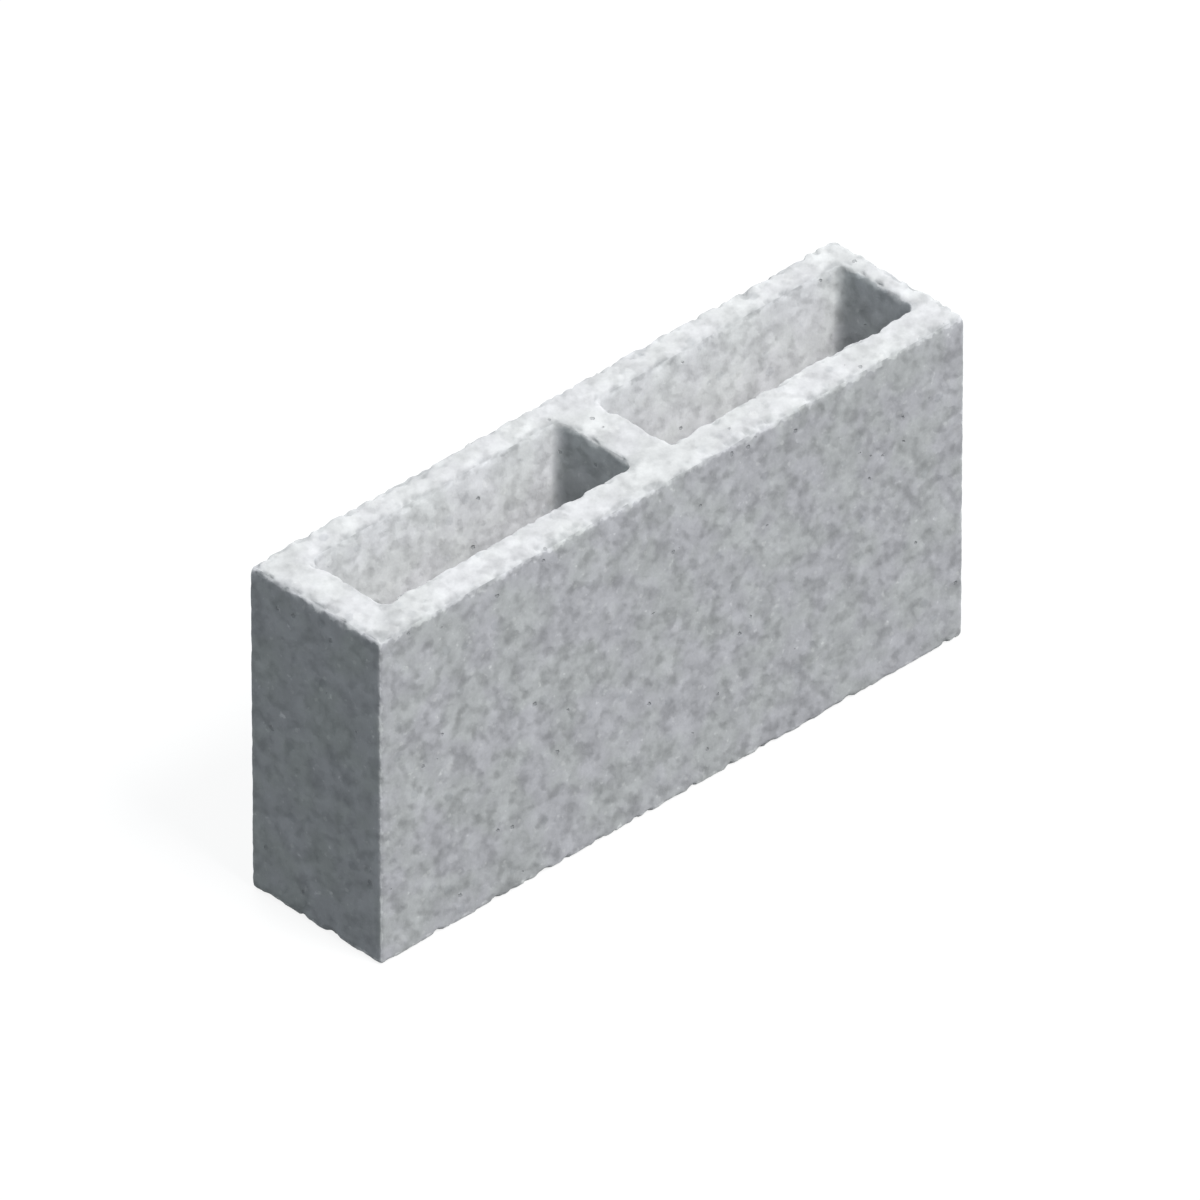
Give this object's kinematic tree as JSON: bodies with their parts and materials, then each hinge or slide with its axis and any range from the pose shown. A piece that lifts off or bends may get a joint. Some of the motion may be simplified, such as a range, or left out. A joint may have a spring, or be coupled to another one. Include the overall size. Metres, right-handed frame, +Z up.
{
  "type": "hollow concrete block",
  "caption": "Narrow hollow concrete wall block: a plain rectangular unit with long through cores divided by a middle web, open at top and bottom.",
  "frame": {"origin": "centre of the bottom bed face, on the level that the block stands on", "axes": "+Z up through the cores, +X along the block's length, +Y through its thickness"},
  "size_m": [0.39, 0.09, 0.19],
  "materials": {
    "concrete": "dry-pressed concrete, matt, open fine grain with small pits"
  },
  "bodies": {
    "root": {"hollow_block": "concrete"}
  },
  "joints": []
}
